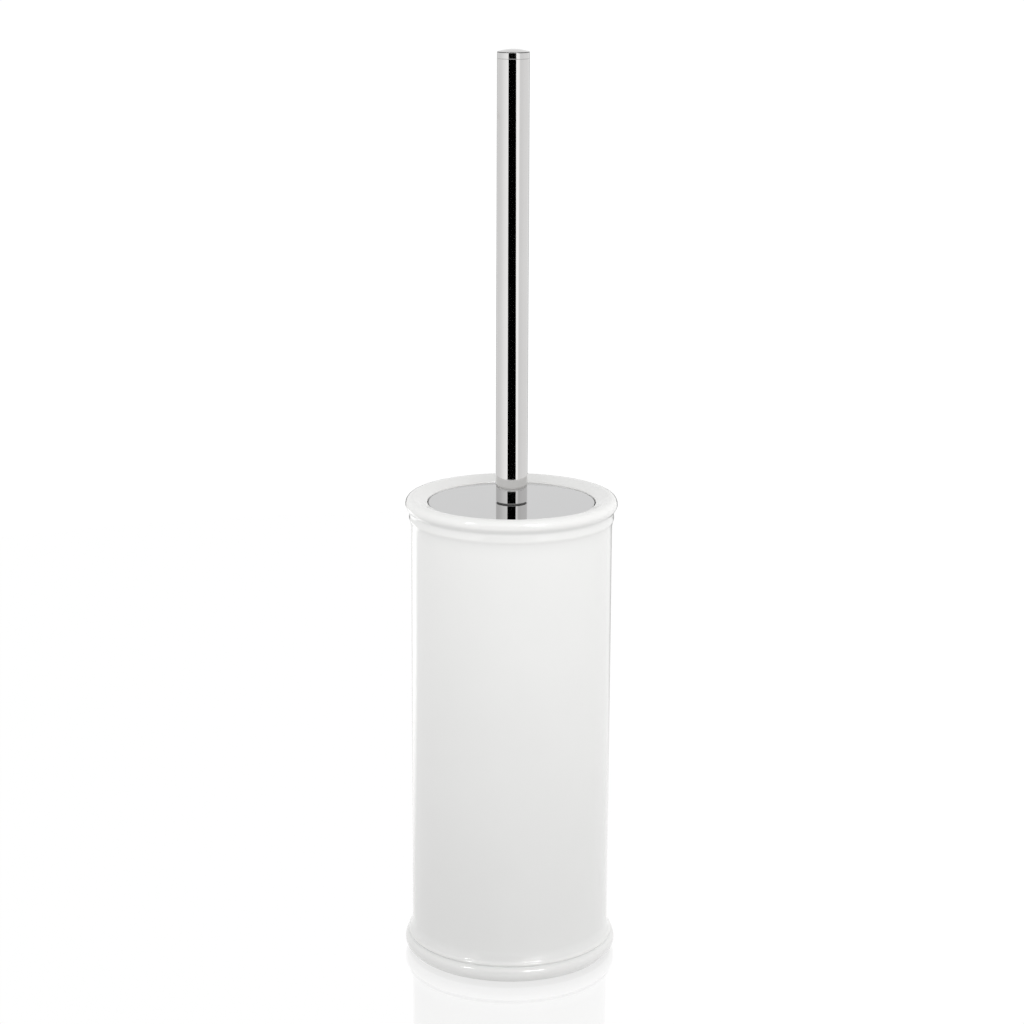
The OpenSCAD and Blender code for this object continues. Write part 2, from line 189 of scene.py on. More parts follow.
def ring_points(r, z, segments, at=(0.0, 0.0)):
    """Points round an upright axis, or a single one on the axis itself."""
    angles = [2 * math.pi * k / segments for k in range(1 if r < ON_AXIS else segments)]
    return [(at[0] + r * math.cos(a), at[1] + r * math.sin(a), z) for a in angles]


def bridge(ring_a, ring_b):
    """Faces between two rings, each given as (its first point's number, its count)."""
    (a, count_a), (b, count_b) = ring_a, ring_b
    if count_a == count_b == 1:
        return []
    n = max(count_a, count_b)
    faces = []
    for k in range(n):
        k2 = (k + 1) % n
        if count_a == 1:
            faces.append((a, b + k2, b + k))
        elif count_b == 1:
            faces.append((a + k, a + k2, b))
        else:
            faces.append((a + k, a + k2, b + k2, b + k))
    return faces


def turned(profile, segments, closed=False, at=(0.0, 0.0)):
    """Points of a profile turned about an upright axis, and one list of faces per step of it."""
    verts, rings = [], []
    for p in profile:
        points = ring_points(p[0], p[1], segments, at)
        rings.append((len(verts), len(points)))
        verts += points
    return verts, [bridge(a, b) for a, b in zip(rings, rings[1:] + rings[:closed])]


def revolve(name, profile, body, looks, segments, closed=True, smooth_angle=35.0,
            look_of=None):
    """A turned piece. closed=False is for a profile that starts and ends on the axis. look_of
    gives the look's number for a step of the profile, from its two points."""
    verts, steps = turned(profile, segments, closed)
    faces = [f for step in steps for f in step]
    # a profile that runs clockwise would turn the faces inside out
    r, z = np.array([p[:2] for p in profile]).T
    if np.sum(r * np.roll(z, -1) - z * np.roll(r, -1)) < 0:
        faces = [f[::-1] for f in faces]
    o = make_object(name, verts, faces, body, looks, smooth_angle)
    if look_of:
        ends = zip(profile, profile[1:] + profile[:1])
        marks = [look_of(a, b) for step, (a, b) in zip(steps, ends) for _ in step]
        o.data.polygons.foreach_set("material_index", marks)
    return o


def point_values(o, name, values):
    """Stores one number per vertex, for a material to read."""
    a = o.data.attributes.new(name, "FLOAT", "POINT")
    a.data.foreach_set("value", np.asarray(values, np.float32))


# ---------------------------------------------------------------- shader nodes
class Nodes:
    """Makes and links the nodes of one shader tree."""

    def __init__(self, tree):
        self.tree = tree

    def node(self, kind, **props):
        n = self.tree.nodes.new(kind)
        for key, value in props.items():
            setattr(n, key, value)
        return n

    def feed(self, socket, value):
        """Links another node's socket to this one, or sets a number or colour on it."""
        if isinstance(value, bpy.types.NodeSocket):
            self.tree.links.new(value, socket)
        elif isinstance(value, tuple) and len(value) == 3 and socket.type == "RGBA":
            socket.default_value = (*value, 1)
        else:
            socket.default_value = value

    def math(self, operation, *values):
        n = self.node("ShaderNodeMath", operation=operation)
        for socket, value in zip(n.inputs, values):
            self.feed(socket, value)
        return n.outputs[0]

    def span(self, value, lo, hi, to_lo=0.0, to_hi=1.0, smooth=False):
        """Maps lo..hi of a value to to_lo..to_hi, clamped."""
        n = self.node("ShaderNodeMapRange",
                      interpolation_type="SMOOTHSTEP" if smooth else "LINEAR")
        for key, v in (("Value", value), ("From Min", lo), ("From Max", hi),
                       ("To Min", to_lo), ("To Max", to_hi)):
            self.feed(n.inputs[key], v)
        return n.outputs["Result"]


class Mat(Nodes):
    """A node material with one Principled shader."""

    def __init__(self, name, color, roughness, metallic=0.0, **sockets):
        self.material = bpy.data.materials.new(name)
        self.material.use_nodes = True
        super().__init__(self.material.node_tree)
        self.bsdf = self.tree.nodes["Principled BSDF"]
        self.feed(self.bsdf.inputs["Base Color"], color)
        self.feed(self.bsdf.inputs["Roughness"], roughness)
        self.feed(self.bsdf.inputs["Metallic"], metallic)
        for key, value in sockets.items():
            self.feed(self.bsdf.inputs[key.replace("_", " ")], value)
        self.coords = self.node("ShaderNodeTexCoord").outputs["Object"]
        self.normal = None

    def noise(self, scale, detail=3.0, rough=0.5, stretch=None, distortion=0.0):
        """Noise over the object's coordinates, which stretch multiplies on each axis."""
        n = self.node("ShaderNodeTexNoise")
        for key, value in (("Scale", scale), ("Detail", detail), ("Roughness", rough),
                           ("Distortion", distortion)):
            self.feed(n.inputs[key], value)
        place = self.coords
        if stretch:
            mapping = self.node("ShaderNodeMapping")
            self.feed(mapping.inputs["Scale"], stretch)
            self.feed(mapping.inputs["Vector"], place)
            place = mapping.outputs["Vector"]
        self.feed(n.inputs["Vector"], place)
        return n.outputs["Fac"]

    def turning(self, per_metre, radial=False):
        """Fine tool marks, as rings round the axis on an end face, or bands along it."""
        kind = ({"wave_type": "RINGS", "rings_direction": "Z"} if radial
                else {"wave_type": "BANDS", "bands_direction": "Z"})
        n = self.node("ShaderNodeTexWave", wave_profile="SIN", **kind)
        for key, value in (("Scale", per_metre), ("Distortion", 0.6), ("Detail", 2.0),
                           ("Detail Scale", 3.0), ("Vector", self.coords)):
            self.feed(n.inputs[key], value)
        return n.outputs["Fac"]

    def attribute(self, name):
        return self.node("ShaderNodeAttribute", attribute_name=name).outputs["Fac"]

    def mix(self, fac, a, b):
        """A colour between two colours, each a socket or three numbers."""
        n = self.node("ShaderNodeMix", data_type="RGBA")
        for socket, value in ((n.inputs[0], fac), (n.inputs[6], a), (n.inputs[7], b)):
            self.feed(socket, value)
        return n.outputs[2]

    def bump(self, height, distance_mm, strength=1.0):
        """Adds relief of that depth on top of what there is."""
        n = self.node("ShaderNodeBump")
        self.feed(n.inputs["Strength"], strength)
        self.feed(n.inputs["Distance"], distance_mm * MM)
        self.feed(n.inputs["Height"], height)
        if self.normal is not None:
            self.feed(n.inputs["Normal"], self.normal)
        self.normal = n.outputs["Normal"]
        self.feed(self.bsdf.inputs["Normal"], self.normal)

    def paint(self, socket):
        self.feed(self.bsdf.inputs["Base Color"], socket)

    def gloss(self, socket):
        self.feed(self.bsdf.inputs["Roughness"], socket)


def shade(color, k):
    return tuple(min(1.0, c * k) for c in color)


# ---------------------------------------------------------------- materials
def glaze_material():
    """White gloss glaze: painted highlight on bulges, painted shade in grooves and on the bare
    foot ring.
    """
    white = (0.905, 0.905, 0.895)
    m = Mat("white_glaze", white, 0.09, IOR=1.5, Specular_IOR_Level=0.5)
    bend_shade_fac = m.attribute("bend_shade")
    cloud = m.noise(22.0, 3.0, 0.5)
    base = m.mix(m.span(cloud, 0.35, 0.65), shade(white, 0.993), shade(white, 1.007))
    # painted shade: darker grey where the outline turns inwards, in grooves and creases
    base = m.mix(m.span(bend_shade_fac, 0.5, 1.0, 0.0, 0.5), base, (0.80, 0.81, 0.805))
    # painted highlight: paler and warmer where the outline bulges
    base = m.mix(m.span(bend_shade_fac, 0.5, 0.0, 0.0, 0.35), base, (0.93, 0.92, 0.90))
    speck = m.noise(900.0, 1.0, 0.4)
    base = m.mix(m.span(speck, 0.80, 0.86, 0.0, 0.25), base, (0.72, 0.70, 0.66))
    # bare clay on the foot ring, its grey carried up the bottom edge as a painted contact shadow
    clay_shade_mask = m.attribute("clay_and_shade")
    grain = m.noise(1400.0, 4.0, 0.6)
    shaded_clay = m.mix(grain, (0.66, 0.65, 0.63), (0.76, 0.755, 0.74))
    m.paint(m.mix(clay_shade_mask, base, shaded_clay))
    m.gloss(m.math("ADD", m.span(clay_shade_mask, 0.0, 1.0, 0.0, 0.72),
                   m.span(m.noise(40.0, 2.0), 0.3, 0.7, 0.045, 0.08)))
    m.bump(m.noise(28.0, 2.0, 0.45), 0.10, 0.5)
    m.bump(m.noise(240.0, 2.0, 0.5), 0.010, 0.35)
    m.bump(m.math("MULTIPLY", grain, clay_shade_mask), 0.08, 0.6)
    return m.material


def mirror_material():
    """Mirror-polished steel with faint buffing marks and a few soft wipe marks."""
    m = Mat("mirror_steel", (0.53, 0.53, 0.53), 0.03, 1.0)
    wipe = m.noise(45.0, 4.0, 0.6, stretch=(1.0, 0.35, 1.0), distortion=0.6)
    m.paint(m.mix(m.span(wipe, 0.3, 0.7), (0.522, 0.523, 0.525), (0.535, 0.535, 0.536)))
    m.gloss(m.span(wipe, 0.35, 0.75, 0.022, 0.055))
    m.bump(m.noise(700.0, 3.0, 0.6, stretch=(1.0, 0.03, 1.0)), 0.0012, 0.35)
    m.bump(m.noise(35.0, 1.0, 0.4), 0.012, 0.3)
    return m.material


def tube_material():
    """Bright drawn tube: slight waves along its length, fine polish lines and a few smudges."""
    m = Mat("bright_tube", (0.62, 0.615, 0.61), 0.04, 1.0)
    smear = m.noise(60.0, 3.0, 0.55, stretch=(1.0, 1.0, 0.45))
    tone = m.mix(m.span(smear, 0.32, 0.68), (0.610, 0.603, 0.598), (0.628, 0.622, 0.617))
    spot = m.noise(95.0, 2.0, 0.5)
    m.paint(m.mix(m.span(spot, 0.70, 0.78, 0.0, 0.5), tone, (0.53, 0.51, 0.49)))
    m.gloss(m.math("ADD", m.span(smear, 0.3, 0.7, 0.028, 0.05),
                   m.span(spot, 0.68, 0.78, 0.0, 0.10)))
    m.bump(m.noise(30.0, 2.0, 0.5, stretch=(1.0, 1.0, 0.6)), 0.012, 0.35)
    m.bump(m.noise(900.0, 3.0, 0.6, stretch=(1.0, 1.0, 0.02)), 0.0012, 0.4)
    return m.material


def cap_material():
    """The cap's turned and polished end."""
    m = Mat("bright_cap", (0.62, 0.615, 0.61), 0.06, 1.0)
    wear = m.noise(160.0, 3.0, 0.6)
    m.paint(m.mix(m.span(wear, 0.3, 0.7), (0.602, 0.597, 0.592), (0.626, 0.621, 0.617)))
    m.gloss(m.span(wear, 0.3, 0.7, 0.05, 0.10))
    m.bump(m.turning(1600.0, radial=True), 0.0015, 0.4)
    return m.material


def rubber_material(name, color, rough=0.62):
    """Moulded rubber: fine grain, a little dusty bloom."""
    m = Mat(name, color, rough, Specular_IOR_Level=0.35)
    bloom = m.noise(120.0, 4.0, 0.6)
    dusty = tuple(c * 1.5 + 0.01 for c in color)
    m.paint(m.mix(m.span(bloom, 0.35, 0.7), color, dusty))
    m.gloss(m.span(bloom, 0.3, 0.7, rough - 0.08, rough + 0.1))
    m.bump(m.noise(2600.0, 2.0, 0.5), 0.02, 0.5)
    return m.material


def pad_material():
    """Clear soft bumper pads, slightly milky."""
    m = Mat("clear_bumper", (0.82, 0.82, 0.80), 0.3, IOR=1.41, Transmission_Weight=0.35)
    milk = m.noise(300.0, 3.0, 0.5)
    m.paint(m.mix(m.span(milk, 0.3, 0.7), (0.76, 0.76, 0.73), (0.86, 0.86, 0.84)))
    m.gloss(m.span(milk, 0.3, 0.7, 0.22, 0.40))
    m.bump(m.noise(900.0, 2.0), 0.01, 0.4)
    return m.material


def nylon_material():
    """Natural nylon with turning marks."""
    m = Mat("natural_nylon", (0.84, 0.82, 0.75), 0.42)
    mottle = m.noise(180.0, 3.0, 0.5)
    m.paint(m.mix(m.span(mottle, 0.3, 0.7), (0.80, 0.78, 0.70), (0.87, 0.855, 0.80)))
    m.gloss(m.span(mottle, 0.3, 0.7, 0.36, 0.50))
    m.bump(m.turning(700.0, radial=True), 0.006, 0.5)
    return m.material


def turned_material(name, color, rough, per_metre, depth=0.004):
    """Turned metal: tool marks along its length, with a slightly uneven finish."""
    m = Mat(name, color, rough, 1.0)
    band = m.turning(per_metre)
    blot = m.noise(150.0, 4.0, 0.6)
    tone = m.mix(m.span(band, 0.2, 0.8), shade(color, 0.93), shade(color, 1.05))
    m.paint(m.mix(m.span(blot, 0.5, 0.75, 0.0, 0.5), tone, shade(color, 0.82)))
    m.gloss(m.span(blot, 0.3, 0.7, rough - 0.05, rough + 0.08))
    m.bump(band, depth, 0.6)
    return m.material


def stem_material():
    """Satin steel tube, brushed along its length."""
    m = Mat("satin_steel", (0.66, 0.66, 0.65), 0.27, 1.0, Anisotropic=0.4)
    line = m.noise(1500.0, 4.0, 0.65, stretch=(1.0, 1.0, 0.012))
    m.paint(m.mix(m.span(line, 0.3, 0.7), (0.60, 0.60, 0.59), (0.70, 0.70, 0.69)))
    m.gloss(m.span(line, 0.3, 0.7, 0.22, 0.34))
    m.bump(line, 0.003, 0.5)
    return m.material


def core_material():
    """Moulded white plastic, satin, with faint flow marks."""
    m = Mat("moulded_white", (0.87, 0.87, 0.855), 0.36)
    flow = m.noise(70.0, 3.0, 0.5, stretch=(1.0, 1.0, 0.4), distortion=0.8)
    m.paint(m.mix(m.span(flow, 0.3, 0.7), (0.845, 0.845, 0.83), (0.885, 0.885, 0.872)))
    m.gloss(m.span(flow, 0.3, 0.7, 0.32, 0.44))
    m.bump(m.noise(1800.0, 2.0), 0.008, 0.4)
    return m.material


def bristle_material():
    """White nylon filament: each a little different, and paler at its tip."""
    m = Mat("nylon_filament", (0.90, 0.90, 0.885), 0.34, IOR=1.53)
    own = m.attribute("filament")
    along = m.attribute("along")
    tone = m.mix(own, (0.845, 0.845, 0.825), (0.925, 0.925, 0.915))
    m.paint(m.mix(m.span(along, 0.8, 1.0, 0.0, 0.6), tone, (0.95, 0.95, 0.945)))
    m.gloss(m.span(m.noise(400.0, 2.0), 0.3, 0.7, 0.28, 0.44))
    m.bump(m.noise(2500.0, 2.0), 0.01, 0.3)
    return m.material


MATERIALS = {
    "glaze": glaze_material(),
    "mirror": mirror_material(),
    "tube": tube_material(),
    "cap": cap_material(),
    "black_rubber": rubber_material("black_rubber_mat", (0.016, 0.016, 0.017)),
    "grey_rubber": rubber_material("grey_rubber_mat", (0.13, 0.13, 0.128), 0.55),
    "seal_rubber": rubber_material("seal_rubber_mat", (0.035, 0.035, 0.036), 0.7),
    "pad": pad_material(),
    "nylon": nylon_material(),
    "brass": turned_material("turned_brass", (0.76, 0.56, 0.27), 0.24, 260.0),
    "turned": turned_material("turned_steel_mat", (0.58, 0.58, 0.575), 0.26, 320.0),
    # nearly black: a painted dark reflection on the chamfer round the cap's crown
    "painted_reflection_edge": turned_material("painted_reflection_edge_mat", (0.10, 0.10, 0.10), 0.30, 900.0, 0.002),
    "wire": turned_material("flat_wire", (0.55, 0.55, 0.54), 0.34, 900.0, 0.002),
    "stem": stem_material(),
    "core": core_material(),
    "bristle": bristle_material(),
}

# What each CAD node is made of, those that a piece replaces among them
LOOKS = {
    "ceramic_pot": "glaze", "foot_pads": "pad", "lid_plate": "mirror",
    "seat_ring": "seal_rubber", "lid_bush": "nylon", "thrust_washer": "nylon",
    "handle_tube": "tube", "handle_cap": "cap", "cap_grip_ring": "seal_rubber",
    "handle_washer": "grey_rubber", "tube_insert": "brass", "spindle": "turned",
    "brush_stem": "stem", "head_stud": "turned", "seal_washer": "black_rubber",
    "brush_core": "core", "core_insert": "brass", "tuft_anchors": "wire",
    "side_tufts": "bristle", "tip_tufts": "bristle",
}
for node, look in LOOKS.items():
    nodes[node].data.materials.clear()
    nodes[node].data.materials.append(MATERIALS[look])


# ---------------------------------------------------------------- the glazed pot
def circle_out(z, c, zc, r):
    """How far out a circle reaches at a height, or -1 where it doesn't reach that height."""
    d = r * r - (z - zc) ** 2
    return c + math.sqrt(d) if d >= 0 else -1.0


def pot_outer(z):
    """Outer radius of the pot at a height below the rim bead's middle."""
    out = circle_out(z, FOOT_C, FOOT_BEAD_Z, FOOT_R)
    if z >= FOOT_BEAD_Z + BODY_STARTS * FOOT_R:
        out = max(out, BODY_R)
    out = max(out, circle_out(z, RIDGE_C, RIDGE_Z, RIDGE_R))
    out -= CREASE * math.exp(-((z - CREASE_Z) / CREASE_H) ** 2)
    cove_top = RIDGE_Z + COVE_H
    if RIDGE_Z < z < cove_top:
        cove = BODY_R + COVE_R - math.sqrt(COVE_R ** 2 - (cove_top - z) ** 2)
        out = max(out, min(RIDGE_C + RIDGE_R * math.cos(math.radians(COVE_STARTS)), cove))
    fillet_top = COLLAR_Z - FILLET_ENDS * COLLAR_R
    if fillet_top - FILLET_H < z < fillet_top:
        r = (FILLET_H ** 2 + FILLET_W ** 2) / (2 * FILLET_W)
        out = max(out, BODY_R + r - math.sqrt(r * r - (z - fillet_top + FILLET_H) ** 2))
    out = max(out, circle_out(z, COLLAR_C, COLLAR_Z, COLLAR_R))
    if COLLAR_Z < z < RIM_Z:
        out = max(out, BODY_R + COLLAR_GROOVE_OUT)
    return max(out, circle_out(z, RIM_C, RIM_Z, RIM_R))


def pot_profile():
    """The pot's whole outline, from its underside's middle round to its floor's middle."""
    row_h, rim_points, corner_points = 0.02, 200, 30
    ring_in, under_z = FOOT_C - FOOT_RING_W, FOOT_Z + UNDER_RECESS
    just_above = FOOT_Z + 1e-4
    pts = [(0.0, under_z), (ring_in - UNDER_CHAMFER, under_z), (ring_in, FOOT_Z),
           (pot_outer(just_above), FOOT_Z)]
    z = FOOT_Z
    while z < RIM_Z:
        pts.append((pot_outer(z), z))
        z += row_h
    # over the rim bead, as far as where a straight slope leaves it for the lid's recess
    slope_z = LID_TOP + RECESS_LIP
    run, rise = RIM_C - RECESS_R, RIM_Z - slope_z
    slope = math.asin(RIM_R / math.hypot(run, rise)) + math.atan2(rise, run)
    pts += arc(RIM_C, RIM_Z, RIM_R, math.pi / 2 + slope, rim_points)
    mouth_base = SEAT_Z - MOUTH_H
    corner_c, corner_z = INNER_R - INNER_CORNER_R, FLOOR_Z + INNER_CORNER_R
    pts += [(RECESS_R, slope_z), (RECESS_R, SEAT_Z), (MOUTH_R, SEAT_Z), (MOUTH_R, mouth_base),
            (INNER_R, mouth_base - SHOULDER_H), (INNER_R, corner_z)]
    pts += arc(corner_c, corner_z, INNER_CORNER_R, -math.pi / 2, corner_points)
    pts.append((0.0, FLOOR_Z))
    return np.array(pts)


def even_steps(pts, step):
    """A polyline resampled at an even step along its length."""
    d = np.r_[0, np.cumsum(np.hypot(*np.diff(pts, axis=0).T))]
    keep = np.r_[True, np.diff(d) > 1e-9]
    d, pts = d[keep], pts[keep]
    t = np.linspace(0, d[-1], int(d[-1] / step) + 1)
    return np.c_[np.interp(t, d, pts[:, 0]), np.interp(t, d, pts[:, 1])]


def soften(pts, step, sigma):
    """Rounds every corner, as glaze does, over a length of about sigma; the ends stay."""
    half = int(4 * sigma / step)
    k = np.exp(-0.5 * (np.arange(-half, half + 1) * step / sigma) ** 2)
    k /= k.sum()
    pad = np.pad(pts, ((half, half), (0, 0)), mode="reflect", reflect_type="odd")
    return np.c_[np.convolve(pad[:, 0], k, "valid"), np.convolve(pad[:, 1], k, "valid")]


def glazed_outline(step):
    """The pot's outline as the glaze rounds it, with each of its sigmas in its own place."""
    fine = even_steps(pot_profile(), step)
    kinds = [soften(fine, step, sigma) for sigma in GLAZE_SIGMAS]
    groove_z = RIM_Z - RIM_R
    heights = (FOOT_FORMS_TOP, BODY_TOP, groove_z - 2.5, groove_z - 1.0, groove_z + 1.0,
               groove_z + 2.5)
    kind = np.interp(fine[:, 1], heights, (0, 1, 1, 2, 2, 1))
    inside = fine[:, 0] < INNER_R + 2
    kind[inside & (kind > 1)] = 1.0
    kind = kind[:, None]
    return (kinds[0] * np.clip(1 - kind, 0, 1) + kinds[1] * (1 - np.abs(kind - 1))
            + kinds[2] * np.clip(kind - 1, 0, 1))


def build_pot():
    """The glazed pot, turned from its outline, with its bends and bare foot ring kept for its
    material's painted shade.
    """
    step, most_turn, most_length, segments = 0.05, math.radians(5.0), 4.0, 256
    soft = glazed_outline(step)
    heading = np.arctan2(np.gradient(soft[:, 1]), np.gradient(soft[:, 0]))
    turn = np.gradient(np.unwrap(heading), step)
    turn = soften(np.c_[turn, turn], step, BEND_SIGMA)[:, 0]
    # keep a point wherever the outline has turned enough, and every few millimetres on straights
    keep, angle, length = [0], 0.0, 0.0
    for i in range(1, len(soft)):
        angle += abs(turn[i]) * step
        length += step
        if angle > most_turn or length > most_length or i == len(soft) - 1:
            keep.append(i)
            angle = length = 0.0
    prof = soft[keep]
    prof[0, 0] = prof[-1, 0] = 0.0
    o = revolve("pot_glazed", prof, "holder", ["glaze"], segments, closed=False,
                smooth_angle=0)
    # painted shade where the outline turns inwards and a painted highlight where it bulges; the
    # foot ring is bare clay, carried up its edge as a painted contact shadow
    depth = 0.5 - np.clip(turn[keep] * SHADE_PER_BEND, -1, 1) * 0.5
    clay_shade_mask = np.clip((FOOT_Z + CLAY_SHADE_H - prof[:, 1]) / CLAY_FADE, 0, 1)
    clay_shade_mask *= prof[:, 0] > FOOT_C - FOOT_RING_W - CLAY_IN
    counts = [1 if r < ON_AXIS else segments for r in prof[:, 0]]
    point_values(o, "bend_shade", np.repeat(depth, counts))
    point_values(o, "clay_and_shade", np.repeat(clay_shade_mask, counts))
    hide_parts("ceramic_pot")


def build_pads():
    """Domed soft bumpers under the foot ring."""
    height = mm_box("foot_pads")[1].z
    prof = corner([(0, 0), (PAD_R - 0.25, 0, 0.3), (PAD_R, height * PAD_SHOULDER, 0.2),
                   (PAD_R, height, 0.1), (0, height)], 4)
    verts, faces = [], []
    for q in range(4):
        a = math.radians(45 + 90 * q)
        points, steps = turned(prof, 32, at=(PAD_C * math.cos(a), PAD_C * math.sin(a)))
        faces += [[i + len(verts) for i in f] for step in steps for f in step]
        verts += points
    o = make_object("foot_bumpers", verts, faces, "holder", ["pad"], 40)
    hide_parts("foot_pads")


build_pot()
build_pads()


# ---------------------------------------------------------------- lid plate, seat ring, washers
def build_lid():
    """Polished disc. The rings of points at its faces' edges keep the mirror images flat."""
    flat_in, flat_out = LID_HOLE_R + HOLE_EDGE_W, LID_R - LID_EDGE_W
    prof = corner([(LID_HOLE_R, LID_BASE), (flat_out, LID_BASE), (LID_R, LID_BASE, 0.12),
                   (LID_R, LID_TOP, 0.35), (flat_out, LID_TOP), (flat_in, LID_TOP),
                   (LID_HOLE_R, LID_TOP, 0.05)])
    o = revolve("lid_disc", prof, "lid", ["mirror"], 256, smooth_angle=30)
    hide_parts("lid_plate")


def build_seat_ring():
    """A flange under the lid plate's edge and a collar that reaches down into the mouth."""
    collar_r, flange_r = MOUTH_R - SEAL_GAP, LID_R - FLANGE_INSET
    inside, low = collar_r - SEAL_T, mm_box("seat_ring")[0].z
    prof = corner([(inside, LID_BASE), (inside, low, 0.3), (collar_r, low, 0.45),
                   (collar_r, SEAT_Z, 0.1), (flange_r, SEAT_Z, 0.3), (flange_r, LID_BASE, 0.3)], 5)
    o = revolve("seat_seal", prof, "lid", ["seal_rubber"], 192)
    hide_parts("seat_ring")


def build_washer(name, node, body, look, hole, hole_edge, edge):
    """A flat washer as high and wide as its CAD node, its edges rounded."""
    lo, hi = mm_box(node)
    prof = corner([(hole, lo.z, hole_edge), (hi.x, lo.z, edge), (hi.x, hi.z, edge),
                   (hole, hi.z, hole_edge)], 4)
    o = revolve(name, prof, body, [look], 96)
    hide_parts(node)


def build_grip_ring():
    """An O-ring as thick as its CAD node is high."""
    zc, r = (grip_lo.z + grip_hi.z) / 2, (grip_hi.z - grip_lo.z) / 2
    rc = grip_hi.x - r
    prof = [(rc + r * math.cos(t), zc + r * math.sin(t))
            for t in np.linspace(0, 2 * math.pi, 24, endpoint=False)]
    o = revolve("cap_o_ring", prof, "brush", ["seal_rubber"], 96)
    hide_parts("cap_grip_ring")


build_lid()
build_seat_ring()
build_washer("tube_gasket", "handle_washer", "brush", "grey_rubber", HANDLE_WASHER_HOLE, 0.0, 0.05)
build_washer("head_gasket", "seal_washer", "head_washer", "black_rubber", SEAL_WASHER_HOLE,
             0.1, 0.3)
build_grip_ring()


# ---------------------------------------------------------------- handle tube and cap
def build_tube():
    """Straight tube, its outer edge just broken at both ends."""
    r, bore = tube_hi.x, tube_hi.x - TUBE_WALL
    z0, z1 = tube_lo.z, tube_hi.z
    low, high = z0 + 0.14, z1 - 0.10
    side = [(r, low + (high - low) * k / TUBE_ROWS) for k in range(TUBE_ROWS + 1)]
    prof = [(bore, z0), (r - 0.10, z0), (r - 0.03, z0 + 0.03), (r, z0 + 0.10), *side,
            (r, z1 - 0.06), (r - 0.03, z1 - 0.06), (r - 0.12, z1), (bore, z1)]
    o = revolve("handle_shaft", prof, "brush", ["tube"], 160, smooth_angle=50)
    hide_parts("handle_tube")


def build_cap():
    """Crown, crisp edge, band, seam, and the spigot with the grip ring's groove."""
    r, top, base, low = cap_hi.x, cap_hi.z, tube_hi.z, cap_lo.z
    crown = top - CROWN_RISE
    spigot, groove = tube_hi.x - SPIGOT_INSET, tube_hi.x - TUBE_WALL - GRIP_DEPTH
    grip_z = (grip_lo.z + grip_hi.z) / 2
    ball = (r * r + CROWN_RISE * CROWN_RISE) / (2 * CROWN_RISE)
    across = [r * k / CROWN_ROWS for k in range(CROWN_ROWS)]
    dome = [(x, top - ball + math.sqrt(ball * ball - x ** 2)) for x in across]
    edge = [(r - 0.20, crown + 0.06), (r - 0.14, crown - 0.02), (r - 0.03, crown - 0.24),
            (r, crown - 0.30)]
    band = [(r, crown - 0.36), (r, (crown + base) / 2), (r, base + 0.20), (r, base + 0.14),
            (r - 0.04, base + 0.05), (r - 0.14, base)]
    plug = [(spigot, base), (spigot, grip_z + GRIP_HALF_H), (groove, grip_z + GRIP_HALF_H),
            (groove, grip_z - GRIP_HALF_H), (spigot, grip_z - GRIP_HALF_H),
            (spigot, low + SPIGOT_CHAMFER), (spigot - SPIGOT_CHAMFER, low), (0.0, low)]

    def look_of(a, b):
        """1, the chamfer round the crown, painted nearly black as a dark reflection; 0 elsewhere.
        """
        return int(abs(a[1] - crown) < 0.31 and a[0] < r - 0.01 and b[0] > r - 0.15)

    o = revolve("handle_end_cap", dome + edge + band + plug, "brush",
                ["cap", "painted_reflection_edge"], 160, closed=False, smooth_angle=28, look_of=look_of)
    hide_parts("handle_cap")


build_tube()
build_cap()


# ---------------------------------------------------------------- the head stud's real thread
def thread_radius(z, around, low, seat):
    """The thread's radius at a height and a share of a turn: cut fully between its lead-in at
    the low end and the relief under the flange."""
    phase = (z / THREAD_PITCH - around) % 1.0
    from_crest = abs(phase - 0.5) * 2
    depth = THREAD_DEPTH * min(1.0, max(0.0, (from_crest - THREAD_CREST) / THREAD_FLANK))
    if z > seat - RELIEF_H:
        depth = THREAD_DEPTH * RELIEF_DEPTH
    formed = min(1.0, (z - low) / LEAD_IN)
    return min(THREAD_R - depth, THREAD_R - THREAD_DEPTH * LEAD_DEPTH * (1 - formed))


def build_stud():
    """Spigot, flange and a rolled thread."""
    lo, hi = mm_box("head_stud")
    low, high, flange_r, n = lo.z, hi.z, hi.x, STUD_SEGMENTS
    seat, flange_top = mm_box("seal_washer")[1].z, mm_box("brush_stem")[0].z
    verts, rings = [(0.0, 0.0, low)], [(0, 1)]
    rows = int((seat - low) / (THREAD_PITCH / THREAD_ROWS))
    for i in range(rows + 1):
        z = low + (seat - low) * i / rows
        rings.append((len(verts), n))
        for k in range(n):
            a, r = 2 * math.pi * k / n, thread_radius(z, k / n, low, seat)
            verts.append((r * math.cos(a), r * math.sin(a), z))
    for r, z in ((flange_r - STUD_EDGE, seat), (flange_r, seat + STUD_EDGE),
                 (flange_r, flange_top - STUD_EDGE), (flange_r - STUD_EDGE, flange_top),
                 (STUD_SPIGOT_R, flange_top), (STUD_SPIGOT_R, high - SPIGOT_EDGE),
                 (STUD_SPIGOT_R - SPIGOT_EDGE, high), (0.0, high)):
        points = ring_points(r, z, n)
        rings.append((len(verts), len(points)))
        verts += points
    faces = [f for a, b in zip(rings, rings[1:]) for f in bridge(a, b)]
    o = make_object("threaded_stud", verts, faces, "brush", ["turned"], 40)
    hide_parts("head_stud")


build_stud()


# ---------------------------------------------------------------- bristles
# A tuft's place is its azimuth and its angle below the horizon, in degrees, and the height on
# the axis that it points away from
side_places = [((i + (ring % 2) / 2) * 360 / PER_RING, 0.0, FIRST_RING + ring * RING_PITCH)
               for ring in range(RINGS) for i in range(PER_RING)]
tip_places = [(i * 360 / n, below, DOME_Z) for below, n in TIP_ROUNDS for i in range(n)]


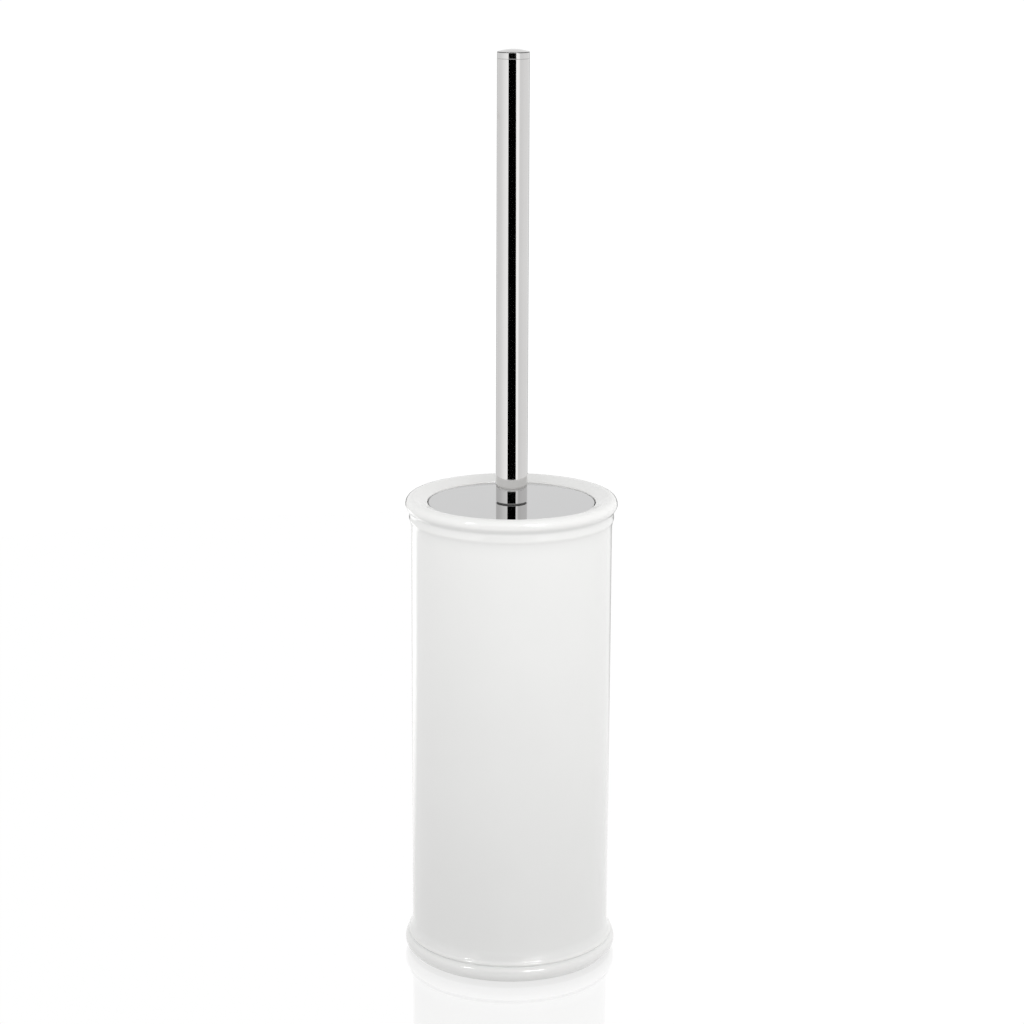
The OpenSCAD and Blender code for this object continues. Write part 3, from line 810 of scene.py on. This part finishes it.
def bristles(name, places, node):
    """Every filament of these tufts, from its hole to the trimmed end, a little bowed."""
    golden = math.pi * (3 - math.sqrt(5))
    start = CORE_R - HOLE_DEPTH + ANCHOR_RISE
    verts, faces, own, along = [], [], [], []
    for azimuth, below, z in places:
        a, b = math.radians(azimuth), math.radians(below)
        out = np.array([math.cos(b) * math.cos(a), math.cos(b) * math.sin(a), -math.sin(b)])
        side = np.array([-math.sin(a), math.cos(a), 0.0])
        up = np.cross(out, side)
        origin = np.array([0.0, 0.0, z])
        reach = HEAD_R + (TIP_REACH - HEAD_R) * below / 90
        twist = rng.uniform(0, 2 * math.pi)
        for f in range(PER_TUFT):
            # places in a tuft follow a sunflower's spiral; the draws keep this order
            q = math.sqrt((f + 0.5) / PER_TUFT)
            t = twist + golden * f + rng.normal(0, STRAY_ROOT)
            root = ROOT_R * q * np.array([math.cos(t), math.sin(t)])
            spread = TIP_R * q * (1 + rng.normal(0, STRAY_SPREAD))
            t += rng.normal(0, STRAY_TIP)
            tip = spread * np.array([math.cos(t), math.sin(t)])
            bow = rng.normal(0, STRAY_BOW, 2)
            length = reach - abs(rng.normal(0, STRAY_LENGTH))
            r = BRISTLE_R * (1 + rng.normal(0, STRAY_THICK))
            tone = rng.uniform(0, 1)
            rings = []
            for k in range(BRISTLE_ROWS):
                s = k / (BRISTLE_ROWS - 1)
                dist = start + (length - start) * s
                free = max(0.0, (dist - CORE_R) / (length - CORE_R))
                off = root + (tip - root) * free ** FLARE + bow * math.sin(math.pi * free)
                centre = origin + out * dist + side * off[0] + up * off[1]
                rings.append((len(verts), BRISTLE_SIDES))
                for c in range(BRISTLE_SIDES):
                    w = 2 * math.pi * c / BRISTLE_SIDES + f
                    verts.append(centre + r * (math.cos(w) * side + math.sin(w) * up))
                    own.append(tone)
                    along.append(s)
            for ring_a, ring_b in zip(rings, rings[1:]):
                faces += bridge(ring_a, ring_b)
            faces.append([rings[0][0] + c for c in reversed(range(BRISTLE_SIDES))])
            faces.append([rings[-1][0] + c for c in range(BRISTLE_SIDES)])
    o = make_object(name, verts, faces, "head", ["bristle"], 50)
    point_values(o, "filament", own)
    point_values(o, "along", along)
    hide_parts(node)


bristles("side_bristles", side_places, "side_tufts")
bristles("tip_bristles", tip_places, "tip_tufts")


# ---------------------------------------------------------------- studio
# Directions are an azimuth, in degrees round from the front towards the right, and degrees up
# from the horizon. Stops are (azimuth, brightness), and the last one joins the first.
BACKDROP = 1.03   # the white that the camera sees round the object
FLOOR_R, FLOOR_SEGMENTS = 0.84, 96
FLOOR_MATT, FLOOR_GLOSS, FLOOR_GLOSS_SHARE = (0.26, 0.26, 0.26), 0.02, 0.34
# What mirrors see of the floor: white near the object, and from FLOOR_FADE outwards (metres)
# brighter behind left than behind right
FLOOR_FADE = (0.10, 0.50)
FLOOR_AROUND = [(-180, 0.90), (-156, 0.95), (-151, 1.9), (-138, 1.9), (-133, 1.05),
                (-115, 1.03), (150, 1.03), (163, 0.35), (179.5, 0.35)]
# The floor's own glow round the object's foot: two radii in metres, and the strength at each
FOOT_GLOW = (0.046, 0.062, 0.36, 0.14)
# What mirrors see of the walls, low and high, and the heights between which one turns into the
# other
WALLS_LOW = [(-180, 0.95), (-126, 0.92), (-90, 1.02), (-63, 1.17), (-38, 1.27), (0, 1.3),
             (20, 1.42), (44, 1.34), (47.5, 1.0), (60, 0.97), (90, 1.03), (131, 1.03),
             (170, 0.97)]
WALLS_HIGH = [(-180, 0.70), (-90, 0.85), (0, 1.0), (90, 0.85)]
WALLS_BLEND = (22.0, 60.0)
# The dark room behind the camera reaches this far above and below the horizon. Its left and
# right edges are given near the horizon and further from it.
ROOM_REACH, ROOM_NEAR, ROOM_FAR = 18.0, 4.1, 13.7
ROOM_LEFT, ROOM_RIGHT = (-34.5, -30.5), (20.0, 31.0)
# A dark strip low down behind the object: its azimuth on either side, and its upper edge
BACK_FROM, BACK_BELOW = 160.0, -1.0
# Two soft boxes in front and a faint strip below them: azimuth, degrees up, half width, half
# height, brightness
SOFT_BOXES = ((-50.0, 36.0, 5.5, 6.0, 20.0), (28.0, 36.0, 12.0, 6.0, 18.0),
              (26.0, 12.0, 10.0, 5.0, 2.5))
# A ray that was reflected once reaches the world with a ray depth of 2
ONE_REFLECTION = 2.5
# The belt of light that matt and glazed surfaces gather, at the horizon and at mid height, the
# heights between which one turns into the other, and those over which it fades out overhead
BELT_LOW = [(-180, 1.33), (-135, 1.30), (-100, 1.30), (-70, 1.31), (-45, 1.33), (-20, 1.36),
            (0, 1.40), (20, 1.45), (45, 1.49), (70, 1.50), (100, 1.47), (135, 1.40)]
BELT_MID = [(-180, 1.22), (-135, 1.11), (-100, 0.92), (-70, 0.71), (-45, 0.55), (-20, 0.47),
            (0, 0.49), (20, 0.60), (45, 0.77), (70, 0.95), (100, 1.13), (135, 1.22)]
BELT_BLEND, BELT_FADE = (10.0, 40.0), (40.0, 80.0)


class Light(Nodes):
    """A shader tree made from nothing, whose values can depend on azimuth and kind of ray."""

    def __init__(self, tree):
        super().__init__(tree)
        self.tree.nodes.clear()
        self.azimuth = None
        self.path = self.node("ShaderNodeLightPath").outputs

    def times(self, *values):
        """The product of two or more values."""
        product = values[0]
        for value in values[1:]:
            product = self.math("MULTIPLY", product, value)
        return product

    def bearing(self, coords):
        """Sets the azimuth of a point or direction, and returns its parts."""
        parts = self.node("ShaderNodeSeparateXYZ")
        self.feed(parts.inputs[0], coords)
        back = self.times(parts.outputs["Y"], -1.0)
        self.azimuth = self.math("DEGREES", self.math("ARCTAN2", parts.outputs["X"], back))
        return parts.outputs

    def round_ramp(self, stops):
        """Brightness by azimuth. A ramp stores colours up to 1, so it holds half of each."""
        ramp = self.node("ShaderNodeValToRGB")
        ramp.color_ramp.interpolation = "LINEAR"
        stops = stops + [(180, stops[0][1])]
        elements = ramp.color_ramp.elements
        for i, (azimuth, value) in enumerate(stops):
            place = (azimuth + 180) / 360
            if i == 0:
                e = elements[0]
            elif i == len(stops) - 1:
                e = elements[-1]
            else:
                e = elements.new(place)
            e.position = place
            e.color = (value / 2, value / 2, value / 2, 1)
        self.feed(ramp.inputs[0], self.span(self.azimuth, -180.0, 180.0))
        return self.times(ramp.outputs[0], 2.0)

    def blend(self, fac, a, b):
        """a where fac is 0, b where it is 1."""
        return self.math("ADD", self.times(self.math("SUBTRACT", 1.0, fac), a),
                         self.times(fac, b))

    def shader(self, kind, **inputs):
        n = self.node(kind)
        for key, value in inputs.items():
            self.feed(n.inputs[key], value)
        return n.outputs[0]

    def join(self, a, b, fac=None):
        """Two shaders added, or mixed by fac."""
        n = self.node("ShaderNodeAddShader" if fac is None else "ShaderNodeMixShader")
        if fac is not None:
            self.feed(n.inputs[0], fac)
        self.feed(n.inputs[-2], a)
        self.feed(n.inputs[-1], b)
        return n.outputs[0]


def build_floor():
    """Pale gloss floor, open to light from below, that glows a little round the object's foot."""
    m = bpy.data.materials.new("floor_look")
    m.use_nodes = True
    f = Light(m.node_tree)
    x, y, _ = f.bearing(f.node("ShaderNodeTexCoord").outputs["Object"])
    away = f.math("SQRT", f.math("ADD", f.times(x, x), f.times(y, y)))
    mirrored = f.blend(f.span(away, *FLOOR_FADE), BACKDROP, f.round_ramp(FLOOR_AROUND))
    glow = f.span(away, *FOOT_GLOW, smooth=True)
    look = f.join(f.shader("ShaderNodeBsdfDiffuse", Color=FLOOR_MATT),
                  f.shader("ShaderNodeEmission", Strength=glow))
    look = f.join(look, f.shader("ShaderNodeEmission", Strength=mirrored),
                  f.path["Is Glossy Ray"])
    white = f.shader("ShaderNodeEmission", Strength=BACKDROP)
    gloss = f.shader("ShaderNodeBsdfGlossy", Color=(1, 1, 1), Roughness=FLOOR_GLOSS)
    look = f.join(look, f.join(white, gloss, FLOOR_GLOSS_SHARE), f.path["Is Camera Ray"])
    underside = f.node("ShaderNodeNewGeometry").outputs["Backfacing"]
    look = f.join(look, f.shader("ShaderNodeBsdfTransparent"), underside)
    f.feed(f.node("ShaderNodeOutputMaterial").inputs["Surface"], look)
    mesh = bpy.data.meshes.new("floor")
    edge = [(FLOOR_R * math.cos(a), FLOOR_R * math.sin(a), 0.0)
            for a in np.linspace(0, 2 * math.pi, FLOOR_SEGMENTS, endpoint=False)]
    mesh.from_pydata(edge, [], [tuple(range(FLOOR_SEGMENTS))])
    mesh.materials.append(m)
    o = bpy.data.objects.new("floor", mesh)
    bpy.context.scene.collection.objects.link(o)


def build_world():
    """White studio: brighter in front, with the dark room behind the camera and soft boxes."""
    world = bpy.data.worlds.new("studio")
    bpy.context.scene.world = world
    world.use_nodes = True
    w = Light(world.node_tree)
    parts = w.bearing(w.node("ShaderNodeTexCoord").outputs["Generated"])
    up = w.math("DEGREES", w.math("ARCSINE", parts["Z"]))
    slant = w.math("ABSOLUTE", up)
    glossy = w.path["Is Glossy Ray"]

    def off(value, middle):
        """How far a direction is from the middle one."""
        return w.math("ABSOLUTE", w.math("SUBTRACT", value, middle))

    # what mirrors see
    tone = w.blend(w.span(up, *WALLS_BLEND, smooth=True), w.round_ramp(WALLS_LOW),
                   w.round_ramp(WALLS_HIGH))
    left = w.span(slant, ROOM_NEAR, ROOM_FAR, *ROOM_LEFT)
    right = w.span(slant, ROOM_NEAR, ROOM_FAR, *ROOM_RIGHT)
    room = w.times(w.math("GREATER_THAN", w.azimuth, left), w.math("LESS_THAN", w.azimuth, right))
    back = w.times(w.math("GREATER_THAN", w.math("ABSOLUTE", w.azimuth), BACK_FROM),
                   w.math("LESS_THAN", up, BACK_BELOW))
    dark = w.times(w.math("MAXIMUM", room, back), w.math("LESS_THAN", slant, ROOM_REACH), glossy)
    tone = w.times(tone, w.math("SUBTRACT", 1.0, dark))
    once = w.math("LESS_THAN", w.path["Ray Depth"], ONE_REFLECTION)
    for azimuth, height, half_w, half_h, value in SOFT_BOXES:
        box = w.times(w.math("LESS_THAN", off(w.azimuth, azimuth), half_w),
                      w.math("LESS_THAN", off(up, height), half_h), value)
        tone = w.math("ADD", tone, w.times(once, box))
    # what matt and glazed surfaces gather
    soft = w.blend(w.span(up, *BELT_BLEND), w.round_ramp(BELT_LOW), w.round_ramp(BELT_MID))
    soft = w.times(soft, w.span(up, *BELT_FADE, 1.0, 0.0))
    tone = w.blend(glossy, soft, tone)
    # what the camera sees behind the object
    tone = w.blend(w.path["Is Camera Ray"], tone, BACKDROP)
    light = w.shader("ShaderNodeBackground", Color=(1, 1, 1), Strength=tone)
    w.feed(w.node("ShaderNodeOutputWorld").inputs["Surface"], light)


def build_key_light():
    """One soft square light above the front, not seen itself."""
    light = bpy.data.lights.new("key_front", "AREA")
    light.shape, light.size, light.energy = "SQUARE", 0.5, 1.25
    o = bpy.data.objects.new("key_front", light)
    place, target = Vector((0, -0.55, 0.75)), Vector((0, 0, 0.12))
    o.location = place
    o.rotation_mode = "QUATERNION"
    o.rotation_quaternion = (target - place).to_track_quat("-Z", "Y")
    bpy.context.scene.collection.objects.link(o)
    o.visible_camera = False
    o.visible_glossy = False


build_floor()
build_world()
build_key_light()


# ---------------------------------------------------------------- camera
def build_camera():
    """The photograph's camera, fitted to the rims' ellipses; pitch and roll are in radians."""
    place, lens, pitch, roll = (0.00023, -1.1548, 0.4933), 93.70, 0.2433, 0.0043
    data = bpy.data.cameras.new("camera")
    data.sensor_width, data.lens = 36.0, lens
    data.clip_start, data.clip_end = 0.01, 50
    cam = bpy.data.objects.new("camera", data)
    ahead = Vector((0, math.cos(pitch), -math.sin(pitch)))
    level_up = Vector((0, math.sin(pitch), math.cos(pitch)))
    right = math.cos(roll) * Vector((1, 0, 0)) + math.sin(roll) * level_up
    axes = Matrix((right, right.cross(ahead), -ahead)).transposed()
    cam.rotation_mode = "QUATERNION"
    cam.rotation_quaternion = axes.to_quaternion()
    cam.location = place
    bpy.context.scene.collection.objects.link(cam)
    bpy.context.scene.camera = cam


build_camera()

colours = bpy.context.scene.view_settings
colours.view_transform, colours.look = "Standard", "None"
colours.exposure, colours.gamma = 0.0, 1.0
